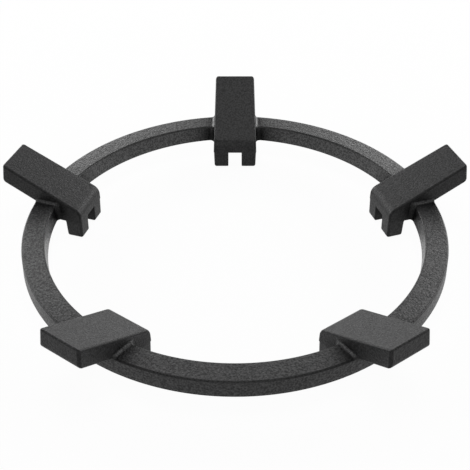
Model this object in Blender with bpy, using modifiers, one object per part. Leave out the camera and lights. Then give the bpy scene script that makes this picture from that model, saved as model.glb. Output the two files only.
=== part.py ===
# A wok ring for a gas hob: a flat round band that carries five sloping arms, cast in iron in one piece.
# The wok's bowl lies on the arms' upper faces. Each arm turns down at its inner end into two feet, which
# straddle one finger of the hob's pan support.
# The casting is built with the underside of the band at z = 0, the plane where the halves of its mould
# met. The last lines lower it onto its own origin.

import math

import bmesh
import bpy
import numpy as np
from mathutils import Matrix

# Band
BAND_OUTER_RADIUS = 0.1100  # at its upper edge
BAND_WIDTH = 0.0116  # across its upper face
BAND_HEIGHT = 0.0093
BAND_OUTER_DRAFT = math.radians(2.5)
BAND_INNER_DRAFT = math.radians(5.5)
BAND_TOP_EDGE_RADIUS = 0.0010
BAND_BOTTOM_EDGE_RADIUS = 0.0006

# Arms
ARM_COUNT = 5
FIRST_ARM_ANGLE = math.radians(90.0)
ARM_WIDTH = 0.0256  # at the mould's parting plane
ARM_DRAFT = math.radians(2.2)  # of each side, so that an arm narrows upwards
ARM_SLOPE = math.radians(26.0)
ARM_THICKNESS = 0.0098  # square to the slope
ARM_OVERHANG = 0.0172  # from the band's outer edge to the arm's upper outer end
ARM_INNER_REACH = 0.0151  # from the band's inner edge to the arm's inner face
ARM_SINK = 0.0006  # how far under the band's upper edge the arm's underside meets the band
ARM_STEP = 0.0003  # the flat underside of an arm's inner end stands this much below the band's
ARM_END_LEAN = math.radians(7.0)
ARM_EDGE_RADIUS = 0.0010
ARM_END_CORNER_RADIUS = 0.0016
NOSE_RADIUS = 0.0055

# Feet
FOOT_HEIGHT = 0.0107  # below the band's underside
FOOT_LENGTH = 0.0097  # along the arm
FOOT_STEP = 0.0004  # the feet stand this much inside the arm's sides and its inner face
FOOT_DRAFT = math.radians(1.5)
FOOT_EDGE_RADIUS = 0.0016
SLOT_EDGE_RADIUS = 0.0007  # of the edges beside the slot
SLOT_WIDTH = 0.0080  # between the feet
ARCH_RADIUS = 0.0020  # where a foot's outer face turns into the arm's underside

# Cast fillets between the band and the arms
TOP_FILLET_RADIUS = 0.0018  # on the band's upper face
INNER_FILLET_RADIUS = 0.0030  # on the band's inner wall

# How finely round shapes are divided
BAND_STEP = math.radians(4.0)
ARC_STEP = math.radians(15.0)
CORNER_STEP = math.radians(45.0)
EDGE_SEGMENTS = 2
FILLET_START = math.radians(12.0)  # a fillet meets the arm's side at this angle
SECTIONS_UNDER_ARM = 3  # sections of the band inside each half of an arm
SECTION_INSET = 0.0008  # how far inside the arm's side the band's hidden sections end
OVERLAP = 0.0030  # how far joined shapes run into each other
ARCH_BITE = 0.0002  # how far the round of a foot's arch runs into the arm above it
CORNER_SHARE = 0.49  # the most of a side that one of its rounded corners takes
SHARP_ANGLE = math.radians(30.0)  # an edge that turns by more is a corner, not part of a round
FLAT_ANGLE = math.radians(1.0)  # faces that turn by less are one flat face
WELD_DISTANCE = 0.000001

IRON_COLOUR = (0.045, 0.045, 0.047, 1.0)
IRON_ROUGHNESS = 0.62

bandInnerRadius = BAND_OUTER_RADIUS - BAND_WIDTH
bandMiddleRadius = BAND_OUTER_RADIUS - BAND_WIDTH / 2
armInnerRadius = bandInnerRadius - ARM_INNER_REACH
armOuterRadius = BAND_OUTER_RADIUS + ARM_OVERHANG
armPitch = 2 * math.pi / ARM_COUNT


def armUnderside(radius):
    return BAND_HEIGHT - ARM_SINK + (radius - BAND_OUTER_RADIUS) * math.tan(ARM_SLOPE)


def armTop(radius):
    return armUnderside(radius) + ARM_THICKNESS / math.cos(ARM_SLOPE)


def armHalfWidth(height):
    return ARM_WIDTH / 2 - height * math.tan(ARM_DRAFT)


def clearScene():
    for old in list(bpy.data.objects):
        bpy.data.objects.remove(old)


def makeCollection(name):
    collection = bpy.data.collections.new(name)
    bpy.context.scene.collection.children.link(collection)
    return collection


def ironMaterial():
    material = bpy.data.materials.new("cast_iron")
    material.use_nodes = True
    shader = material.node_tree.nodes["Principled BSDF"]
    shader.inputs["Base Color"].default_value = IRON_COLOUR
    shader.inputs["Roughness"].default_value = IRON_ROUGHNESS
    shader.inputs["Metallic"].default_value = 0.0
    return material


def meshObject(name, mesh, collection, material):
    made = bpy.data.objects.new(name, mesh)
    collection.objects.link(made)
    made.data.materials.append(material)
    return made


def roundedOutline(corners, radii, step):
    """The closed outline through these corners, each turned with an arc of its own radius."""
    outline = []
    count = len(corners)
    for i in range(count):
        corner = np.array(corners[i])
        if radii[i] == 0:
            outline.append(tuple(corner))
            continue
        back = np.array(corners[i - 1]) - corner
        ahead = np.array(corners[(i + 1) % count]) - corner
        room = min(np.linalg.norm(back), np.linalg.norm(ahead)) * CORNER_SHARE
        back /= np.linalg.norm(back)
        ahead /= np.linalg.norm(ahead)
        half = math.acos(np.clip(back @ ahead, -1, 1)) / 2
        radius = min(radii[i], room * math.tan(half))
        centre = corner + (back + ahead) / np.linalg.norm(back + ahead) * radius / math.sin(half)
        start = corner + back * radius / math.tan(half) - centre
        side = math.copysign(1, back[0] * ahead[1] - back[1] * ahead[0])
        turn = -side * (math.pi - 2 * half)
        steps = max(1, round(abs(turn) / step))
        for k in range(steps + 1):
            cosine = math.cos(turn * k / steps)
            sine = math.sin(turn * k / steps)
            across = start[0] * cosine - start[1] * sine
            up = start[0] * sine + start[1] * cosine
            outline.append((centre[0] + across, centre[1] + up))
    return outline


# The band. Its section is swept round the axis, and swells into a fillet on both sides of each arm.


def bandSection(topSwell, innerSwell):
    bottomInner = bandInnerRadius - BAND_HEIGHT * math.tan(BAND_INNER_DRAFT)
    bottomOuter = BAND_OUTER_RADIUS + BAND_HEIGHT * math.tan(BAND_OUTER_DRAFT)
    corners = [
        (bottomInner - innerSwell, 0),
        (bottomOuter, 0),
        (BAND_OUTER_RADIUS, BAND_HEIGHT + topSwell),
        (bandInnerRadius - innerSwell, BAND_HEIGHT + topSwell),
    ]
    radii = [BAND_BOTTOM_EDGE_RADIUS, BAND_BOTTOM_EDGE_RADIUS, BAND_TOP_EDGE_RADIUS, BAND_TOP_EDGE_RADIUS]
    return roundedOutline(corners, radii, CORNER_STEP)


def filletSwell(distance, radius):
    """How far a concave fillet stands off the band at this distance from the arm's side."""
    if distance >= radius:
        return 0.0
    return radius - math.sqrt(radius**2 - (radius - max(distance, 0)) ** 2)


def sectionBesideArm(distance):
    """The section of the band at this distance from the arm's side, and negative inside the arm."""
    section = bandSection(
        filletSwell(distance, TOP_FILLET_RADIUS),
        filletSwell(distance, INNER_FILLET_RADIUS),
    )
    points = []
    for radius, height in section:
        aside = armHalfWidth(height) + distance
        points.append((math.sqrt(radius**2 - aside**2), aside, height))
    return points


def plainSection(angle):
    return [(r * math.cos(angle), r * math.sin(angle), z) for r, z in bandSection(0, 0)]


def sectionUnderArm(share):
    """The section inside the arm, at this share of its half width."""
    points = []
    for radius, height in bandSection(TOP_FILLET_RADIUS, INNER_FILLET_RADIUS):
        aside = share * (armHalfWidth(height) - SECTION_INSET)
        points.append((math.sqrt(radius**2 - aside**2), aside, height))
    return points


def pitchSections():
    """The sections from the middle of one arm to the middle of the next gap, in order."""
    sections = [sectionUnderArm(k / SECTIONS_UNDER_ARM) for k in range(SECTIONS_UNDER_ARM + 1)]
    widest = max(TOP_FILLET_RADIUS, INNER_FILLET_RADIUS)
    steps = round((math.pi / 2 - FILLET_START) / ARC_STEP)
    for k in range(steps + 1):
        angle = FILLET_START + (math.pi / 2 - FILLET_START) * k / steps
        sections.append(sectionBesideArm(widest * (1 - math.cos(angle))))
    filletEnd = math.asin((ARM_WIDTH / 2 + widest) / bandInnerRadius)
    plainSteps = round((armPitch / 2 - filletEnd) / BAND_STEP)
    for k in range(1, plainSteps + 1):
        sections.append(plainSection(filletEnd + (armPitch / 2 - filletEnd) * k / plainSteps))
    return sections


def turned(points, angle):
    cosine, sine = math.cos(angle), math.sin(angle)
    return [(x * cosine - y * sine, x * sine + y * cosine, z) for x, y, z in points]


def bandMesh():
    half = pitchSections()
    mirrored = [[(x, -y, z) for x, y, z in section] for section in half[1:-1]]
    pitch = mirrored[::-1] + half
    mesh = bpy.data.meshes.new("wok_ring")
    body = bmesh.new()
    loops = []
    for arm in range(ARM_COUNT):
        for section in pitch:
            placed = turned(section, FIRST_ARM_ANGLE + arm * armPitch)
            loops.append([body.verts.new(point) for point in placed])
    for i, loop in enumerate(loops):
        following = loops[(i + 1) % len(loops)]
        for k in range(len(loop)):
            j = (k + 1) % len(loop)
            body.faces.new((loop[k], loop[j], following[j], following[k]))
    bmesh.ops.recalc_face_normals(body, faces=body.faces)
    body.to_mesh(mesh)
    body.free()
    return mesh


# An arm and its feet. Each starts as a flat outline, upright along +X, and is drawn out to its width.


def drawnOut(name, outline, halfWidth):
    curve = bpy.data.curves.new(name, "CURVE")
    curve.dimensions = "2D"
    curve.fill_mode = "BOTH"
    curve.extrude = halfWidth
    spline = curve.splines.new("POLY")
    spline.points.add(len(outline) - 1)
    for point, (across, up) in zip(spline.points, outline):
        point.co = (across, up, 0, 1)
    spline.use_cyclic_u = True
    flat = bpy.data.objects.new(name, curve)
    flat.rotation_euler.x = math.pi / 2
    bpy.context.scene.collection.objects.link(flat)
    bpy.context.view_layer.update()
    graph = bpy.context.evaluated_depsgraph_get()
    mesh = bpy.data.meshes.new_from_object(flat.evaluated_get(graph))
    mesh.transform(flat.matrix_world)
    bpy.data.objects.remove(flat)
    body = bmesh.new()
    body.from_mesh(mesh)
    bmesh.ops.remove_doubles(body, verts=body.verts, dist=WELD_DISTANCE)
    bmesh.ops.dissolve_limit(body, angle_limit=FLAT_ANGLE, verts=body.verts, edges=body.edges)
    bmesh.ops.recalc_face_normals(body, faces=body.faces)
    body.to_mesh(mesh)
    body.free()
    return mesh


def weighSharpEdges(mesh, radiusOf, widest):
    """Marks each real corner of the mesh for a Bevel, with its own radius as a share of the widest."""
    body = bmesh.new()
    body.from_mesh(mesh)
    weight = body.edges.layers.float.new("bevel_weight_edge")
    for edge in body.edges:
        if edge.calc_face_angle() > SHARP_ANGLE:
            edge[weight] = radiusOf(edge) / widest
    body.to_mesh(mesh)
    body.free()


def addBevel(made, width):
    bevel = made.modifiers.new("rounded edges", "BEVEL")
    bevel.limit_method = "WEIGHT"
    bevel.width = width
    bevel.segments = EDGE_SEGMENTS


def armMesh():
    endDrop = ARM_THICKNESS / math.cos(ARM_SLOPE)
    endBottomRadius = armOuterRadius + endDrop * math.tan(ARM_END_LEAN)
    corners = [
        (armOuterRadius, armTop(armOuterRadius)),
        (armInnerRadius, armTop(armInnerRadius)),
        (armInnerRadius, -ARM_STEP),
        (bandMiddleRadius, -ARM_STEP),
        (bandMiddleRadius, armUnderside(bandMiddleRadius)),
        (endBottomRadius, armUnderside(endBottomRadius)),
    ]
    outline = roundedOutline(corners, [0, NOSE_RADIUS, 0, 0, 0, 0], ARC_STEP)
    mesh = drawnOut("arm", outline, ARM_WIDTH / 2)
    for vertex in mesh.vertices:
        vertex.co.y = math.copysign(armHalfWidth(vertex.co.z), vertex.co.y)

    def radiusOf(edge):
        ends = [vertex.co for vertex in edge.verts]
        upright = abs(ends[0].y - ends[1].y) < abs(ends[0].z - ends[1].z)
        atEnd = min(end.x for end in ends) >= armOuterRadius - ARM_EDGE_RADIUS
        return ARM_END_CORNER_RADIUS if upright and atEnd else ARM_EDGE_RADIUS

    weighSharpEdges(mesh, radiusOf, ARM_END_CORNER_RADIUS)
    return mesh


def footMesh(side):
    """One foot, on the side of the slot that 1 or -1 names."""
    halfWidth = (ARM_WIDTH / 2 - FOOT_STEP - SLOT_WIDTH / 2) / 2
    middle = (ARM_WIDTH / 2 - FOOT_STEP + SLOT_WIDTH / 2) / 2
    inner = armInnerRadius + FOOT_STEP
    outer = armInnerRadius + FOOT_LENGTH
    taper = FOOT_HEIGHT * math.tan(FOOT_DRAFT)
    root = min(OVERLAP, armTop(armInnerRadius) / 2)
    rootEnd = bandInnerRadius + OVERLAP
    archHeight = ARCH_BITE - ARM_STEP
    corners = [
        (inner, root),
        (inner, -ARM_STEP),
        (inner + taper, -FOOT_HEIGHT),
        (outer - taper, -FOOT_HEIGHT),
        (outer, archHeight),
        (rootEnd, archHeight),
        (rootEnd, root),
    ]
    outline = roundedOutline(corners, [0, 0, 0, 0, ARCH_RADIUS, 0, 0], ARC_STEP)
    mesh = drawnOut("foot", outline, halfWidth)
    for vertex in mesh.vertices:
        depth = max(-vertex.co.z, 0)
        isOuterSide = vertex.co.y * side > 0
        vertex.co.y += side * middle
        if isOuterSide:
            vertex.co.y -= side * depth * math.tan(FOOT_DRAFT)

    def radiusOf(edge):
        ends = [vertex.co for vertex in edge.verts]
        beyondArch = min(end.x for end in ends) > outer + ARCH_RADIUS - WELD_DISTANCE
        insideArm = min(end.z for end in ends) > root - WELD_DISTANCE
        if beyondArch or insideArm:
            return 0.0
        atSlot = max(abs(end.y) for end in ends) < middle
        return SLOT_EDGE_RADIUS if atSlot else FOOT_EDGE_RADIUS

    weighSharpEdges(mesh, radiusOf, FOOT_EDGE_RADIUS)
    return mesh


def centreOfMassHeight(made):
    evaluated = made.evaluated_get(bpy.context.evaluated_depsgraph_get())
    mesh = evaluated.to_mesh()
    mesh.calc_loop_triangles()
    points = np.array([vertex.co for vertex in mesh.vertices])
    corners = points[np.array([triangle.vertices for triangle in mesh.loop_triangles])]
    evaluated.to_mesh_clear()
    volumes = np.linalg.det(corners) / 6
    return float((volumes * corners.sum(axis=1)[:, 2] / 4).sum() / volumes.sum())


clearScene()
parts = makeCollection("wok ring")
armShapes = makeCollection("arms and feet joined to the band")
iron = ironMaterial()

shapes = {"arm": armMesh(), "left_foot": footMesh(1), "right_foot": footMesh(-1)}
for k in range(ARM_COUNT):
    for name, mesh in shapes.items():
        shape = meshObject(f"{name}_{k + 1}", mesh, armShapes, iron)
        shape.rotation_euler.z = FIRST_ARM_ANGLE + k * armPitch
        addBevel(shape, ARM_END_CORNER_RADIUS if name == "arm" else FOOT_EDGE_RADIUS)
        shape.hide_render = True
        shape.display_type = "WIRE"
armShapes.hide_render = True

ring = meshObject("wok_ring", bandMesh(), parts, iron)
join = ring.modifiers.new("arms and feet", "BOOLEAN")
join.operation = "UNION"
join.operand_type = "COLLECTION"
join.collection = armShapes

# The origin is on the band's axis, level with the centre of mass.
lift = Matrix.Translation((0, 0, -centreOfMassHeight(ring)))
for mesh in (ring.data, *shapes.values()):
    mesh.transform(lift)
ring.data.shade_smooth()
ring.data.set_sharp_from_angle(angle=SHARP_ANGLE)
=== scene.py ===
# A cast-iron wok ring for a gas hob, on a pale floor in soft studio light.
import math

import bmesh
import bpy
import numpy as np
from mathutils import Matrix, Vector


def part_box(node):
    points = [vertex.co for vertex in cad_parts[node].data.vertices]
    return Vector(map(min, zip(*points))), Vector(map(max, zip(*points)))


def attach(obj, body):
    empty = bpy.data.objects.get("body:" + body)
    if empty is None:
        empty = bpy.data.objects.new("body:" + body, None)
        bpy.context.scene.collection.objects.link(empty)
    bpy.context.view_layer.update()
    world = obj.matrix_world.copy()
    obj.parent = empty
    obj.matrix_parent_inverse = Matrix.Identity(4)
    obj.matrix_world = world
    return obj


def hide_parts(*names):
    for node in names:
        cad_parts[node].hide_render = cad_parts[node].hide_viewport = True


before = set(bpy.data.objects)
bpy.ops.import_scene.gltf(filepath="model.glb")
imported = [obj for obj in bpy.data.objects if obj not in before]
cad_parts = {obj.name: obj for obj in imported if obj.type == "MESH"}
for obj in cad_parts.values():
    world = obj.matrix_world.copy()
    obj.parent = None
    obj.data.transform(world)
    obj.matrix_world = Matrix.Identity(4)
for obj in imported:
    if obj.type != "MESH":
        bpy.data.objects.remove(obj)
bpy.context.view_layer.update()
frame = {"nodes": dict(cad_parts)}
print("frame loaded:", ", ".join(frame["nodes"]))

# The casting's sizes, in metres and degrees. Heights count from the plane where the mould's halves met,
# which is the underside of the band and of the arms.
band = {
    "outerRadius": 0.1100,
    "width": 0.0116,
    "height": 0.0093,
    "outerDraft": 2.5,
    "innerDraft": 5.5,
    "topEdge": 0.0010,  # radius of its rounded edges
    "bottomEdge": 0.0006,
    "topFillet": 0.0018,
    "innerFillet": 0.0030,
    "step": 1.0,  # degrees round the axis between two sections
    "edgeStep": 15.0,  # degrees of a rounded edge between two of its points
    "filletStart": 3.0,  # a fillet meets the arm's side at this angle
    "filletSteps": 12,
}

arm = {
    "count": 5,
    "firstAngle": 90.0,
    "width": 0.0256,
    "draft": 2.2,
    "slope": 26.0,
    "thickness": 0.0098,
    "overhang": 0.0171,
    "innerReach": 0.0151,
    "sink": 0.0006,  # how far its underside lies below the band's outer upper edge
    "step": 0.0003,  # how far the flat underside of its inner end stands below the band's
    "endLean": 7.0,
    "edge": 0.0011,
    "endCorner": 0.0016,
    "endBottomEdge": 0.0021,
    "nose": 0.0055,
    "arcStep": 5.0,
    "edgeSegments": 6,
}

foot = {
    "height": 0.0107,
    "length": 0.0097,
    "inset": 0.00015,  # how far it stands inside the arm's sides
    "frontInset": 0.00008,  # and inside its inner face, which runs on into the foot
    "draft": 1.5,
    "edge": 0.0013,
    "slotEdge": 0.0007,
    "slotWidth": 0.0080,
    "archRadius": 0.0020,
    "edgeSegments": 6,
}

join = {
    "depth": 0.0030,  # how far one shape runs into the next before they become one
    "archBite": 0.0002,  # how far the arch behind a foot rises into the arm
    "hiddenInset": 0.0008,  # how far inside the arm's sides the band's hidden sections end
    "underSteps": 3,  # steps between those sections, from the arm's middle outwards
    "weld": 0.00002,
    "sharpAngle": 30,  # a sharper turn is a corner, and a smaller one is part of a round
    "cutReach": 0.00001,  # in radians, from the plane where one pitch ends and the next begins
    "wideWeight": 50,  # how far a wide face outweighs a narrow one in the shading
}

slopeTan = math.tan(math.radians(arm["slope"]))
slopeCos = math.cos(math.radians(arm["slope"]))
innerRadius = band["outerRadius"] - band["width"]
middleRadius = band["outerRadius"] - band["width"] / 2
armInner = innerRadius - arm["innerReach"]
armOuter = band["outerRadius"] + arm["overhang"]
halfPitch = math.pi / arm["count"]
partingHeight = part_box("wok_ring")[0][2] + foot["height"]


def armUnderside(radius):
    return band["height"] - arm["sink"] + (radius - band["outerRadius"]) * slopeTan


def armTop(radius):
    return armUnderside(radius) + arm["thickness"] / slopeCos


def armHalfWidth(height):
    return arm["width"] / 2 - height * math.tan(math.radians(arm["draft"]))


def roundedOutline(corners, radii, step):
    # the closed outline through the corners, each turned by an arc of its own radius
    outline = []
    for i, radius in enumerate(radii):
        corner = np.array(corners[i], float)
        if radius == 0:
            outline.append(tuple(corner))
            continue
        back = np.array(corners[i - 1]) - corner
        ahead = np.array(corners[(i + 1) % len(corners)]) - corner
        back /= np.linalg.norm(back)
        ahead /= np.linalg.norm(ahead)
        half = math.acos(np.clip(back @ ahead, -1, 1)) / 2
        centre = corner + (back + ahead) / np.linalg.norm(back + ahead) * radius / math.sin(half)
        start = corner + back * radius / math.tan(half) - centre
        turn = (2 * half - math.pi) * math.copysign(1, back[0] * ahead[1] - back[1] * ahead[0])
        steps = max(1, round(abs(turn) / math.radians(step)))
        for k in range(steps + 1):
            cosine = math.cos(turn * k / steps)
            sine = math.sin(turn * k / steps)
            across = centre[0] + start[0] * cosine - start[1] * sine
            up = centre[1] + start[0] * sine + start[1] * cosine
            outline.append((across, up))
    return outline


def tempObject(name, body, material):
    # a work object from a bmesh, which is freed
    bmesh.ops.recalc_face_normals(body, faces=body.faces)
    mesh = bpy.data.meshes.new(name)
    body.to_mesh(mesh)
    body.free()
    made = bpy.data.objects.new(name, mesh)
    bpy.context.scene.collection.objects.link(made)
    mesh.materials.append(material)
    return made


def applied(made):
    # a plain mesh of the object with its modifiers applied
    bpy.context.view_layer.update()
    graph = bpy.context.evaluated_depsgraph_get()
    return bpy.data.meshes.new_from_object(made.evaluated_get(graph), depsgraph=graph)


# One pitch of the band, with an arm in its middle, lies along +X. Its section swells into a fillet on
# both sides of the arm.
def bandSection(topSwell, innerSwell):
    bottomInner = innerRadius - band["height"] * math.tan(math.radians(band["innerDraft"]))
    bottomOuter = band["outerRadius"] + band["height"] * math.tan(math.radians(band["outerDraft"]))
    top = band["height"] + topSwell
    corners = [
        (bottomInner - innerSwell, 0),
        (bottomOuter, 0),
        (band["outerRadius"], top),
        (innerRadius - innerSwell, top),
    ]
    radii = [band["bottomEdge"]] * 2 + [band["topEdge"]] * 2
    return roundedOutline(corners, radii, band["edgeStep"])


def filletSwell(distance, radius):
    if distance >= radius:
        return 0.0
    return radius - math.sqrt(radius**2 - (radius - distance) ** 2)


def setAside(section, asideAt):
    # each point moves aside from the arm's middle, and stays as far from the axis as it was
    asides = [asideAt(z) for _, z in section]
    return [(math.sqrt(r**2 - a**2), a, z) for (r, z), a in zip(section, asides)]


def sectionBesideArm(distance):
    topSwell = filletSwell(distance, band["topFillet"])
    innerSwell = filletSwell(distance, band["innerFillet"])
    return setAside(bandSection(topSwell, innerSwell), lambda z: armHalfWidth(z) + distance)


def sectionUnderArm(share):
    section = bandSection(band["topFillet"], band["innerFillet"])
    return setAside(section, lambda z: share * (armHalfWidth(z) - join["hiddenInset"]))


def bandPitch(material):
    underSteps = join["underSteps"]
    sections = [sectionUnderArm(k / underSteps) for k in range(underSteps + 1)]
    widest = max(band["topFillet"], band["innerFillet"])
    firstAngle = math.radians(band["filletStart"])
    for k in range(band["filletSteps"] + 1):
        angle = firstAngle + (math.pi / 2 - firstAngle) * k / band["filletSteps"]
        sections.append(sectionBesideArm(widest * (1 - math.cos(angle))))
    start = math.asin((arm["width"] / 2 + widest) / innerRadius)
    steps = round((halfPitch - start) / math.radians(band["step"]))
    for k in range(1, steps + 1):
        a = start + (halfPitch - start) * k / steps
        sections.append([(r * math.cos(a), r * math.sin(a), z) for r, z in bandSection(0, 0)])
    mirrored = [[(x, -y, z) for x, y, z in section] for section in sections[:0:-1]]
    body = bmesh.new()
    loops = [[body.verts.new(point) for point in section] for section in mirrored + sections]
    for loop, following in zip(loops, loops[1:]):
        for k in range(len(loop)):
            j = (k + 1) % len(loop)
            body.faces.new((loop[k], loop[j], following[j], following[k]))
    body.faces.new(loops[0])
    body.faces.new(loops[-1])
    return tempObject("bandPitch", body, material)


def drawnOut(name, outline, sideAt, radiusOf, widest, segments, material):
    # an upright outline drawn out sideways, with rounded edges; sideAt gives both sides at a height
    body = bmesh.new()
    walls = [[body.verts.new((x, sideAt(z)[i], z)) for x, z in outline] for i in (0, 1)]
    for wall in walls:
        body.faces.new(wall)
    for k in range(len(outline)):
        j = (k + 1) % len(outline)
        body.faces.new((walls[0][k], walls[0][j], walls[1][j], walls[1][k]))
    bmesh.ops.recalc_face_normals(body, faces=body.faces)
    weight = body.edges.layers.float.new("bevel_weight_edge")
    for edge in body.edges:
        if edge.calc_face_angle() > math.radians(join["sharpAngle"]):
            edge[weight] = radiusOf([v.co for v in edge.verts]) / widest
    made = tempObject(name, body, material)
    bevel = made.modifiers.new("rounded edges", "BEVEL")
    bevel.limit_method = "WEIGHT"
    bevel.width = widest
    bevel.segments = segments
    return made


def armShape(material):
    endBottom = armOuter + arm["thickness"] / slopeCos * math.tan(math.radians(arm["endLean"]))
    corners = [
        (armOuter, armTop(armOuter)),
        (armInner, armTop(armInner)),
        (armInner, -arm["step"]),
        (middleRadius, -arm["step"]),
        (middleRadius, armUnderside(middleRadius)),
        (endBottom, armUnderside(endBottom)),
    ]
    outline = roundedOutline(corners, [0, arm["nose"], 0, 0, 0, 0], arm["arcStep"])

    def radiusOf(ends):
        if all(end.z < 0 for end in ends):
            return 0.0
        if min(end.x for end in ends) < armOuter - arm["edge"]:
            return arm["edge"]
        if abs(ends[0].y - ends[1].y) < abs(ends[0].z - ends[1].z):
            return arm["endCorner"]
        onTop = ends[0].z > armTop(armOuter) - arm["edge"]
        return arm["edge"] if onTop else arm["endBottomEdge"]

    def sideAt(z):
        return (armHalfWidth(z), -armHalfWidth(z))

    return drawnOut("arm", outline, sideAt, radiusOf, arm["endBottomEdge"], arm["edgeSegments"], material)


def footShape(side, material):
    outerSide = arm["width"] / 2 - foot["inset"]
    slotSide = foot["slotWidth"] / 2
    lean = math.tan(math.radians(foot["draft"]))
    front = armInner + foot["frontInset"]
    rear = armInner + foot["length"]
    root = join["depth"]
    rootEnd = innerRadius + join["depth"]
    archHeight = join["archBite"] - arm["step"]
    corners = [
        (front, root),
        (front, -arm["step"]),
        (front + foot["height"] * lean, -foot["height"]),
        (rear - foot["height"] * lean, -foot["height"]),
        (rear, archHeight),
        (rootEnd, archHeight),
        (rootEnd, root),
    ]
    outline = roundedOutline(corners, [0, 0, 0, 0, foot["archRadius"], 0, 0], arm["arcStep"])

    def sideAt(z):
        return (side * (outerSide - max(-z, 0) * lean), side * slotSide)

    def radiusOf(ends):
        beyondArch = min(end.x for end in ends) > rear + foot["archRadius"] - join["weld"]
        insideArm = min(end.z for end in ends) > root - join["weld"]
        if beyondArch or insideArm:
            return 0.0
        atSlot = max(abs(end.y) for end in ends) < slotSide + foot["slotEdge"]
        return foot["slotEdge"] if atSlot else foot["edge"]

    return drawnOut("foot", outline, sideAt, radiusOf, foot["edge"], foot["edgeSegments"], material)


def castPitch(bandMaterial, armMaterial):
    # the band's pitch, the arm and its feet, joined; the two end caps come off, so that copies weld
    base = bandPitch(bandMaterial)
    shapes = [armShape(armMaterial), footShape(1, armMaterial), footShape(-1, armMaterial)]
    for shape in shapes:
        union = base.modifiers.new(shape.name, "BOOLEAN")
        union.operation = "UNION"
        union.object = shape
        union.solver = "EXACT"
        union.material_mode = "TRANSFER"
    mesh = applied(base)
    armSlot = mesh.materials.find(armMaterial.name)
    body = bmesh.new()
    body.from_mesh(mesh)
    skin = body.faces.layers.bool.new("armSkin")
    for face in body.faces:
        face[skin] = face.material_index == armSlot

    def onCut(vert):
        return abs(abs(math.atan2(vert.co.y, vert.co.x)) - halfPitch) < join["cutReach"]

    caps = [face for face in body.faces if all(onCut(vert) for vert in face.verts)]
    bmesh.ops.delete(body, geom=caps, context="FACES")
    body.to_mesh(mesh)
    body.free()
    for made in [base] + shapes:
        bpy.data.objects.remove(made)
    return mesh


def nodeAdder(tree):
    # a function that adds a node to this tree, at a place and with its settings
    def add(kind, x, y, **settings):
        node = tree.nodes.new(kind)
        node.location = (x, y)
        for key, value in settings.items():
            setattr(node, key, value)
        return node

    return add


def repeatTree():
    # Geometry Nodes: the pitch is set round the axis once for each arm, and the copies are welded
    tree = bpy.data.node_groups.new("castRoundTheAxis", "GeometryNodeTree")
    tree.is_modifier = True
    sockets = {}
    for name, kind in [
        ("Pitch", "NodeSocketGeometry"),
        ("Arms", "NodeSocketInt"),
        ("First Arm Angle", "NodeSocketFloat"),
        ("Parting Height", "NodeSocketFloat"),
        ("Weld Distance", "NodeSocketFloat"),
        ("Band Iron", "NodeSocketMaterial"),
        ("Arm Iron", "NodeSocketMaterial"),
    ]:
        sockets[name] = tree.interface.new_socket(name, in_out="INPUT", socket_type=kind).identifier
    tree.interface.new_socket("Casting", in_out="OUTPUT", socket_type="NodeSocketGeometry")

    add = nodeAdder(tree)
    link = tree.links.new
    start = add("NodeGroupInput", -1200, 0)
    points = add("GeometryNodePoints", -900, 200)
    index = add("GeometryNodeInputIndex", -1100, -200)
    pitch = add("ShaderNodeMath", -1000, -350, operation="DIVIDE")
    pitch.inputs[0].default_value = 2 * math.pi
    angle = add("ShaderNodeMath", -800, -250, operation="MULTIPLY_ADD")
    turn = add("ShaderNodeCombineXYZ", -600, -250)
    rotation = add("FunctionNodeEulerToRotation", -450, -250)
    copies = add("GeometryNodeInstanceOnPoints", -250, 100)
    lift = add("ShaderNodeCombineXYZ", -300, -400)
    realize = add("GeometryNodeRealizeInstances", -50, 100)
    place = add("GeometryNodeTransform", 120, 100)
    weld = add("GeometryNodeMergeByDistance", 300, 100)
    skin = add("GeometryNodeInputNamedAttribute", 100, -300, data_type="BOOLEAN")
    skin.inputs["Name"].default_value = "armSkin"
    others = add("FunctionNodeBooleanMath", 300, -350, operation="NOT")
    bandPaint = add("GeometryNodeSetMaterial", 500, 100)
    armPaint = add("GeometryNodeSetMaterial", 700, 100)
    end = add("NodeGroupOutput", 900, 100)

    link(start.outputs["Arms"], points.inputs["Count"])
    link(start.outputs["Arms"], pitch.inputs[1])
    link(index.outputs[0], angle.inputs[0])
    link(pitch.outputs[0], angle.inputs[1])
    link(start.outputs["First Arm Angle"], angle.inputs[2])
    link(angle.outputs[0], turn.inputs["Z"])
    link(turn.outputs[0], rotation.inputs[0])
    link(points.outputs[0], copies.inputs["Points"])
    link(start.outputs["Pitch"], copies.inputs["Instance"])
    link(rotation.outputs[0], copies.inputs["Rotation"])
    link(copies.outputs[0], realize.inputs[0])
    link(start.outputs["Parting Height"], lift.inputs["Z"])
    link(realize.outputs[0], place.inputs["Geometry"])
    link(lift.outputs[0], place.inputs["Translation"])
    link(place.outputs[0], weld.inputs["Geometry"])
    link(start.outputs["Weld Distance"], weld.inputs["Distance"])
    link(weld.outputs[0], bandPaint.inputs["Geometry"])
    link(skin.outputs["Attribute"], others.inputs[0])
    link(others.outputs[0], bandPaint.inputs["Selection"])
    link(start.outputs["Band Iron"], bandPaint.inputs["Material"])
    link(bandPaint.outputs[0], armPaint.inputs["Geometry"])
    link(skin.outputs["Attribute"], armPaint.inputs["Selection"])
    link(start.outputs["Arm Iron"], armPaint.inputs["Material"])
    link(armPaint.outputs[0], end.inputs[0])
    return tree, sockets


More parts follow.
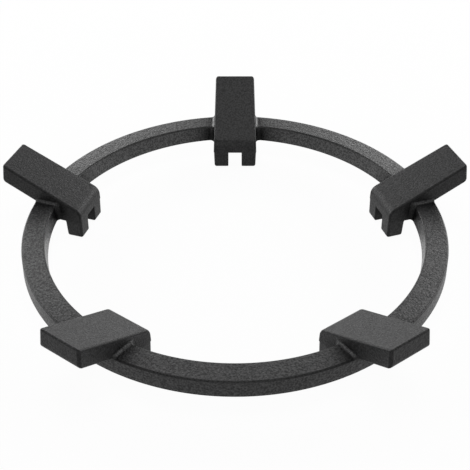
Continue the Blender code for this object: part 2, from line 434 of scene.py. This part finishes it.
mark = {
    "flatWidth": 0.0005,  # a wider face is flat, not part of a rounded edge
    "jointReach": 0.0003,  # the joint between an arm and its feet stays unmarked
    "leastTurn": 8,  # degrees between two faces, more than where a rounded edge meets a flat face
    "turnRange": 4,  # degrees beyond those at which the mark is full
    "hollowTurn": 2,  # degrees of a hollow turn that belongs to a fillet
    "undersideTilt": 0.3,  # the corners under the arms' outer ends stay plain
    "topFilletHighlight": 0.8,  # painted highlight in the fillets on the band's top, which lifts them out of the painted corner shade
    "innerFilletShade": -0.7,  # and painted shade in those on its inner wall
    "inwardTurn": 0.8,  # share of a normal that points at the axis
    "wallReach": 0.0010,  # how far the band's inner wall lies from the inner edge of its top, at most
}


def markEdges(mesh):
    # Three masks of painted light. The first is 1 along the middle of each rounded outer edge, where
    # painted shade darkens the coat. The second is above 0 in the fillets on the band's top, a painted
    # highlight that lifts them out of the painted corner shade, and below 0 in those on its inner wall,
    # painted shade. The third is 1 on the band's inner wall, a painted sheen that raises its gloss.
    body = bmesh.new()
    body.from_mesh(mesh)
    edgeShade = body.verts.layers.float.new("edgePaintedShade")
    tone = body.verts.layers.float.new("filletLightAndShade")
    sheen = body.verts.layers.float.new("wallPaintedSheen")
    onTop = partingHeight + band["height"] - band["topEdge"]
    footJoint = partingHeight - arm["step"]
    for vert in body.verts:
        height = vert.co.z
        turns = [math.degrees(edge.calc_face_angle_signed(0)) for edge in vert.link_edges]
        widest = max(2 * face.calc_area() / face.calc_perimeter() for face in vert.link_faces)
        # painted shade along the middle of the rounded edges
        if widest < mark["flatWidth"] and abs(height - footJoint) > mark["jointReach"]:
            vert[edgeShade] = min(max((max(turns) - mark["leastTurn"]) / mark["turnRange"], 0), 1)
        # Painted light in the fillets: a painted highlight on those on the band's top, strongest where
        # they lean halfway between up and sideways, and painted shade on those on its inner wall.
        if min(turns) < -mark["hollowTurn"] and vert.normal.z > -mark["undersideTilt"]:
            tilt = 4 * vert.normal.z**2 * (1 - vert.normal.z**2)
            vert[tone] = mark["topFilletHighlight"] * max(tilt, 0) ** 2 if height > onTop else mark["innerFilletShade"]
        # Painted sheen on the band's inner wall, which raises its gloss.
        inward = -vert.co.xy.normalized().dot(vert.normal.xy)
        if inward > mark["inwardTurn"] and abs(vert.co.xy.length - innerRadius) < mark["wallReach"]:
            vert[sheen] = 1
    body.to_mesh(mesh)
    body.free()


def castRing(bandMaterial, armMaterial):
    pitch = bpy.data.objects.new("castPitch", castPitch(bandMaterial, armMaterial))
    bpy.context.scene.collection.objects.link(pitch)
    tree, sockets = repeatTree()
    nodes = pitch.modifiers.new("round the axis", "NODES")
    nodes.node_group = tree
    values = {
        "Arms": arm["count"],
        "First Arm Angle": math.radians(arm["firstAngle"]),
        "Parting Height": partingHeight,
        "Weld Distance": join["weld"],
        "Band Iron": bandMaterial,
        "Arm Iron": armMaterial,
    }
    for name, value in values.items():
        nodes[sockets[name]] = value
    mesh = applied(pitch)
    bpy.data.objects.remove(pitch)
    markEdges(mesh)
    mesh.shade_smooth()
    mesh.set_sharp_from_angle(angle=math.radians(join["sharpAngle"]))
    ring = bpy.data.objects.new("wokRingCasting", mesh)
    bpy.context.scene.collection.objects.link(ring)
    flat = ring.modifiers.new("flat faces stay flat", "WEIGHTED_NORMAL")
    flat.mode = "FACE_AREA"
    flat.weight = join["wideWeight"]
    flat.keep_sharp = True
    finished = applied(ring)
    ring.modifiers.clear()
    ring.data = finished
    finished.name = "wokRingCasting"
    return ring


# The cast surface under the coat: pebbles, grain and slow waves of the sand mould, in metres.
bandSkin = {
    "Pebble Size": 0.0012,
    "Pebble Height": 0.00026,
    "Grain Size": 0.0007,
    "Grain Height": 0.00022,
    "Wave Size": 0.009,
    "Wave Height": 0.00012,
    "Speck Size": 0.0009,
}

armSkin = {
    "Pebble Size": 0.0010,
    "Pebble Height": 0.00014,
    "Grain Size": 0.0007,
    "Grain Height": 0.00014,
    "Wave Size": 0.010,
    "Wave Height": 0.00008,
    "Speck Size": 0.0009,
}

sand = {
    "pebbleSmoothness": 0.8,
    "grainDetail": 3.0,
    "grainRoughness": 0.6,
    "waveDetail": 2.0,
    "speckDetail": 1.0,
    "speckRange": (0.35, 0.65),
    "waveTone": 0.6,  # shares of the waves and of the grain in the tone
    "grainTone": 0.4,
}


def castSkinGroup():
    group = bpy.data.node_groups.new("castSkin", "ShaderNodeTree")
    group.interface.new_socket("Vector", in_out="INPUT", socket_type="NodeSocketVector")
    for name in bandSkin:
        group.interface.new_socket(name, in_out="INPUT", socket_type="NodeSocketFloat")
    for name in ("Height", "Tone", "Speck"):
        group.interface.new_socket(name, in_out="OUTPUT", socket_type="NodeSocketFloat")

    add = nodeAdder(group)
    link = group.links.new
    start = add("NodeGroupInput", -1200, 0)
    end = add("NodeGroupOutput", 900, 0)

    def scaled(sizeName, y):
        inverse = add("ShaderNodeMath", -950, y - 120, operation="DIVIDE")
        inverse.inputs[0].default_value = 1.0
        link(start.outputs[sizeName], inverse.inputs[1])
        vector = add("ShaderNodeVectorMath", -750, y, operation="SCALE")
        link(start.outputs["Vector"], vector.inputs[0])
        link(inverse.outputs[0], vector.inputs["Scale"])
        return vector.outputs[0]

    pebbles = add("ShaderNodeTexVoronoi", -500, 500, feature="SMOOTH_F1")
    pebbles.inputs["Scale"].default_value = 1.0
    pebbles.inputs["Smoothness"].default_value = sand["pebbleSmoothness"]
    link(scaled("Pebble Size", 500), pebbles.inputs["Vector"])
    grain = add("ShaderNodeTexNoise", -500, 150)
    grain.inputs["Scale"].default_value = 1.0
    grain.inputs["Detail"].default_value = sand["grainDetail"]
    grain.inputs["Roughness"].default_value = sand["grainRoughness"]
    link(scaled("Grain Size", 150), grain.inputs["Vector"])
    wave = add("ShaderNodeTexNoise", -500, -200)
    wave.inputs["Scale"].default_value = 1.0
    wave.inputs["Detail"].default_value = sand["waveDetail"]
    link(scaled("Wave Size", -200), wave.inputs["Vector"])

    pebbleRise = add("ShaderNodeMath", -200, 450, operation="MULTIPLY")
    link(pebbles.outputs["Distance"], pebbleRise.inputs[0])
    link(start.outputs["Pebble Height"], pebbleRise.inputs[1])
    grainRise = add("ShaderNodeMath", -200, 200, operation="MULTIPLY_ADD")
    link(grain.outputs[0], grainRise.inputs[0])
    link(start.outputs["Grain Height"], grainRise.inputs[1])
    waveRise = add("ShaderNodeMath", -200, -50, operation="MULTIPLY")
    link(wave.outputs[0], waveRise.inputs[0])
    link(start.outputs["Wave Height"], waveRise.inputs[1])
    link(waveRise.outputs[0], grainRise.inputs[2])
    height = add("ShaderNodeMath", 50, 300, operation="SUBTRACT")
    link(grainRise.outputs[0], height.inputs[0])
    link(pebbleRise.outputs[0], height.inputs[1])

    dots = add("ShaderNodeTexNoise", -500, -550)
    dots.inputs["Scale"].default_value = 1.0
    dots.inputs["Detail"].default_value = sand["speckDetail"]
    link(scaled("Speck Size", -550), dots.inputs["Vector"])
    speck = add("ShaderNodeMapRange", 50, 0, interpolation_type="SMOOTHSTEP")
    speck.inputs["From Min"].default_value = sand["speckRange"][0]
    speck.inputs["From Max"].default_value = sand["speckRange"][1]
    link(dots.outputs[0], speck.inputs["Value"])
    tone = add("ShaderNodeMath", 50, -250, operation="MULTIPLY_ADD")
    link(wave.outputs[0], tone.inputs[0])
    tone.inputs[1].default_value = sand["waveTone"]
    grainTone = add("ShaderNodeMath", -150, -350, operation="MULTIPLY")
    link(grain.outputs[0], grainTone.inputs[0])
    grainTone.inputs[1].default_value = sand["grainTone"]
    link(grainTone.outputs[0], tone.inputs[2])

    link(height.outputs[0], end.inputs["Height"])
    link(tone.outputs[0], end.inputs["Tone"])
    link(speck.outputs[0], end.inputs["Speck"])
    return group


# The black coat, with painted shade along the middle of its rounded edges and in its corners, which
# darkens its colour and its gloss.
coat = {
    "roughness": (0.40, 0.55),  # least and most, under the gloss
    "cornerSamples": 8,
    "glint": 0.45,  # how much the specks of the coat change its gloss
    # painted shade along the middle of the rounded edges: its colour, and its gloss below
    "edgeShadeColour": (0.003, 0.003, 0.0031),
    "edgeShadeGloss": 0.15,  # gloss of the rounded edges under their painted shade, as a share of the faces' gloss
    "cornerShadeReach": 0.018,  # how far from a corner the painted shade still reaches, in metres
    # painted shade in the corners: the coat's colour and gloss there
    "cornerShadeColour": (0.0012, 0.0012, 0.0013),
    "cornerShadeGloss": 0.02,
}

# The band and the arms share one black coat. Their colours and gloss differ here as lit and shaded copies
# of it: painted light for how the light falls on the band and on the arms.
bandCoat = {
    "dark": (0.0060, 0.0060, 0.0062),
    "light": (0.0130, 0.0130, 0.0133),
    "specular": 0.09,
    "gloss": 0.42,
    "paintedWallGloss": 0.95,  # painted sheen: the gloss of the band's inner wall
    "glossRoughness": 0.40,
    "cornerShadeShare": (0.60, 1.0),  # openness at which the painted shade is darkest, and at which there is none
}

armCoat = {
    "dark": (0.0092, 0.0092, 0.0094),
    "light": (0.0176, 0.0176, 0.0180),
    "specular": 0.11,
    "gloss": 0.15,
    "paintedWallGloss": 0.15,  # no painted sheen: no more than the arm's gloss, because nothing of an arm is marked as the band's wall
    "glossRoughness": 0.50,
    "cornerShadeShare": (0.40, 0.90),
}


def coatedIron(name, group, skin, paint):
    material = bpy.data.materials.new(name)
    material.use_nodes = True
    tree = material.node_tree
    link = tree.links.new
    shader = tree.nodes["Principled BSDF"]
    shader.inputs["Metallic"].default_value = 0.0
    shader.inputs["Specular IOR Level"].default_value = paint["specular"]
    shader.inputs["Coat Roughness"].default_value = paint["glossRoughness"]

    add = nodeAdder(tree)
    place = add("ShaderNodeTexCoord", -1300, 0)
    cast = add("ShaderNodeGroup", -1050, 0, node_tree=group)
    link(place.outputs["Object"], cast.inputs["Vector"])
    for key, value in skin.items():
        cast.inputs[key].default_value = value
    colour = add("ShaderNodeMix", -700, 250, data_type="RGBA")
    colour.inputs["A"].default_value = (*paint["dark"], 1)
    colour.inputs["B"].default_value = (*paint["light"], 1)
    link(cast.outputs["Speck"], colour.inputs["Factor"])
    # Painted shade along the middle of the rounded edges, broken up by the specks: a darker colour and
    # less gloss.
    edgeShade = add("ShaderNodeAttribute", -1050, 400, attribute_name="edgePaintedShade")
    edgeShadeShare = add("ShaderNodeMath", -700, 500, operation="MULTIPLY")
    link(edgeShade.outputs["Fac"], edgeShadeShare.inputs[0])
    link(cast.outputs["Speck"], edgeShadeShare.inputs[1])
    edgeShaded = add("ShaderNodeMix", -450, 300, data_type="RGBA")
    edgeShaded.inputs["B"].default_value = (*coat["edgeShadeColour"], 1)
    link(edgeShadeShare.outputs[0], edgeShaded.inputs["Factor"])
    link(colour.outputs["Result"], edgeShaded.inputs["A"])
    # Painted shade in the corners: where little round a point is open, its colour turns towards the
    # corner shade colour and its gloss falls.
    openness = add("ShaderNodeAmbientOcclusion", -1050, 700, only_local=True)
    openness.samples = coat["cornerSamples"]
    openness.inputs["Distance"].default_value = coat["cornerShadeReach"]
    clear = add("ShaderNodeMapRange", -850, 700, interpolation_type="SMOOTHSTEP")
    clear.inputs["From Min"].default_value = paint["cornerShadeShare"][0]
    clear.inputs["From Max"].default_value = paint["cornerShadeShare"][1]
    link(openness.outputs["AO"], clear.inputs["Value"])
    # Painted highlight on the band's top fillets and painted shade on its inner ones, added to the
    # openness.
    fillet = add("ShaderNodeAttribute", -1050, 950, attribute_name="filletLightAndShade")
    plain = add("ShaderNodeMath", -650, 750, operation="ADD", use_clamp=True)
    link(clear.outputs[0], plain.inputs[0])
    link(fillet.outputs["Fac"], plain.inputs[1])
    shaded = add("ShaderNodeMix", -250, 350, data_type="RGBA")
    shaded.inputs["A"].default_value = (*coat["cornerShadeColour"], 1)
    link(plain.outputs[0], shaded.inputs["Factor"])
    link(edgeShaded.outputs["Result"], shaded.inputs["B"])
    link(shaded.outputs["Result"], shader.inputs["Base Color"])
    # Painted sheen: the coat's gloss is raised on the band's inner wall.
    sheen = add("ShaderNodeAttribute", -850, 1150, attribute_name="wallPaintedSheen")
    openGloss = add("ShaderNodeMapRange", -650, 1150)
    openGloss.inputs["To Min"].default_value = paint["gloss"]
    openGloss.inputs["To Max"].default_value = paint["paintedWallGloss"]
    link(sheen.outputs["Fac"], openGloss.inputs["Value"])
    gloss = add("ShaderNodeMapRange", -450, 700)
    gloss.inputs["To Min"].default_value = coat["cornerShadeGloss"]
    link(openGloss.outputs[0], gloss.inputs["To Max"])
    link(plain.outputs[0], gloss.inputs["Value"])
    glint = add("ShaderNodeMapRange", -450, 950)
    glint.inputs["To Min"].default_value = 1 - coat["glint"]
    glint.inputs["To Max"].default_value = 1 + coat["glint"]
    link(cast.outputs["Speck"], glint.inputs["Value"])
    edge = add("ShaderNodeMapRange", -450, 500)
    edge.inputs["To Min"].default_value = 1.0
    edge.inputs["To Max"].default_value = coat["edgeShadeGloss"]
    link(edgeShadeShare.outputs[0], edge.inputs["Value"])
    speckled = add("ShaderNodeMath", -250, 800, operation="MULTIPLY")
    link(gloss.outputs[0], speckled.inputs[0])
    link(glint.outputs[0], speckled.inputs[1])
    weight = add("ShaderNodeMath", -100, 700, operation="MULTIPLY")
    link(speckled.outputs[0], weight.inputs[0])
    link(edge.outputs[0], weight.inputs[1])
    link(weight.outputs[0], shader.inputs["Coat Weight"])
    rough = add("ShaderNodeMapRange", -450, 0)
    rough.inputs["To Min"].default_value = coat["roughness"][0]
    rough.inputs["To Max"].default_value = coat["roughness"][1]
    link(cast.outputs["Tone"], rough.inputs["Value"])
    link(rough.outputs[0], shader.inputs["Roughness"])
    bump = add("ShaderNodeBump", -450, -250)
    bump.inputs["Strength"].default_value = 1.0
    bump.inputs["Distance"].default_value = 1.0
    link(cast.outputs["Height"], bump.inputs["Height"])
    link(bump.outputs[0], shader.inputs["Normal"])
    return material


# The floor and the room: pale, and white where the camera or a reflection meets them.
room = {
    "floorColour": (0.80, 0.80, 0.80, 1),
    "floorLift": 0.96,  # share of plain white in what the camera sees of the floor
    "floorSize": 6.0,
    "floorGap": 0.0001,  # between the floor and the feet
    "backdrop": 0.97,  # as pale as the far end of the floor, so that no edge shows
    "sky": 0.0,  # the lamps give all the light
}


def seenByCamera(add, link):
    # 1 for a camera, glossy or transmission ray
    path = add("ShaderNodeLightPath", -900, 0)
    first = add("ShaderNodeMath", -700, 0, operation="MAXIMUM")
    link(path.outputs["Is Camera Ray"], first.inputs[0])
    link(path.outputs["Is Glossy Ray"], first.inputs[1])
    second = add("ShaderNodeMath", -500, 0, operation="MAXIMUM")
    link(first.outputs[0], second.inputs[0])
    link(path.outputs["Is Transmission Ray"], second.inputs[1])
    return second.outputs[0]


def makeFloor():
    material = bpy.data.materials.new("paleFloor")
    material.use_nodes = True
    tree = material.node_tree
    tree.nodes.clear()
    add = nodeAdder(tree)
    link = tree.links.new
    share = add("ShaderNodeMath", -300, 0, operation="MULTIPLY")
    share.inputs[1].default_value = room["floorLift"]
    link(seenByCamera(add, link), share.inputs[0])
    matt = add("ShaderNodeBsdfDiffuse", -300, -200)
    matt.inputs["Color"].default_value = room["floorColour"]
    white = add("ShaderNodeEmission", -300, -400)
    mix = add("ShaderNodeMixShader", -50, 0)
    link(share.outputs[0], mix.inputs[0])
    link(matt.outputs[0], mix.inputs[1])
    link(white.outputs[0], mix.inputs[2])
    out = add("ShaderNodeOutputMaterial", 150, 0)
    link(mix.outputs[0], out.inputs["Surface"])
    bpy.ops.mesh.primitive_plane_add(size=room["floorSize"])
    floor = bpy.context.object
    floor.name = "floor"
    floor.location.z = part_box("wok_ring")[0][2] - room["floorGap"]
    floor.data.materials.append(material)


def makeWorld():
    world = bpy.data.worlds.new("paleRoom")
    bpy.context.scene.world = world
    world.use_nodes = True
    tree = world.node_tree
    tree.nodes.clear()
    add = nodeAdder(tree)
    link = tree.links.new
    light = add("ShaderNodeBackground", -300, -200)
    light.inputs["Strength"].default_value = room["sky"]
    backdrop = add("ShaderNodeBackground", -300, -400)
    backdrop.inputs["Color"].default_value = (1, 1, 1, 1)
    backdrop.inputs["Strength"].default_value = room["backdrop"]
    mix = add("ShaderNodeMixShader", -50, 0)
    link(seenByCamera(add, link), mix.inputs[0])
    link(light.outputs[0], mix.inputs[1])
    link(backdrop.outputs[0], mix.inputs[2])
    out = add("ShaderNodeOutputWorld", 150, 0)
    link(mix.outputs[0], out.inputs["Surface"])


# Square softboxes that face the middle: one overhead, and pairs that stand low from behind the casting
# round to its sides, so that they light its faces at a low angle. The pair ahead stands in one place.
# Each has an azimuth from straight behind and a height, in degrees, and a power in watts.
softboxes = {
    "distance": 1.2,
    "size": 0.6,
    "lamps": {
        "overhead": (0, 90, 4.7),
        "behindBeside": (25, 14, 6.3),
        "besideBehind": (50, 14, 4.8),
        "beside": (75, 14, 6.9),
        "ahead": (180, 14, 2.8),
    },
}


def makeLamps():
    for name, (azimuth, height, power) in softboxes["lamps"].items():
        rise = math.radians(height)
        for side in (1, -1) if azimuth else (1,):
            light = bpy.data.lights.new(name, "AREA")
            light.shape = "SQUARE"
            light.size = softboxes["size"]
            light.energy = power
            lamp = bpy.data.objects.new(name, light)
            around = math.radians(side * azimuth)
            level = math.cos(rise)
            outward = Vector((math.sin(around) * level, math.cos(around) * level, math.sin(rise)))
            lamp.location = softboxes["distance"] * outward
            # a lamp shines along its own -Z
            lamp.rotation_euler = outward.to_track_quat("Z", "Y").to_euler()
            bpy.context.scene.collection.objects.link(lamp)


# The camera, in metres and degrees: it looks at a point in the plane of the band's upper face.
shot = {
    "elevation": 38.38,
    "distance": 0.475,
    "target": (0.0, -0.0083, partingHeight + band["height"]),
    "pixelsPerTangent": 921.2,
    "frameWidth": 470,
    "sensorWidth": 36.0,  # in millimetres
    "clipStart": 0.01,
}


def makeCamera():
    camera = bpy.data.cameras.new("camera")
    camera.sensor_width = shot["sensorWidth"]
    camera.lens = shot["sensorWidth"] * shot["pixelsPerTangent"] / shot["frameWidth"]
    camera.clip_start = shot["clipStart"]
    eye = bpy.data.objects.new("camera", camera)
    rise = math.radians(shot["elevation"])
    back = Vector((0, -math.cos(rise), math.sin(rise)))
    eye.location = Vector(shot["target"]) + shot["distance"] * back
    eye.rotation_euler = (math.pi / 2 - rise, 0, 0)
    bpy.context.scene.collection.objects.link(eye)
    bpy.context.scene.camera = eye


bpy.context.scene.view_settings.view_transform = "Standard"
makeCamera()
makeLamps()
makeWorld()
makeFloor()
print("camera, lamps and floor are in place")

castSkin = castSkinGroup()
bandIron = coatedIron("bandIron", castSkin, bandSkin, bandCoat)
armIron = coatedIron("armIron", castSkin, armSkin, armCoat)
print("materials:", bandIron.name, "and", armIron.name)

ring = castRing(bandIron, armIron)
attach(ring, "root")
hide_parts("wok_ring")
print("casting:", len(ring.data.polygons), "faces")
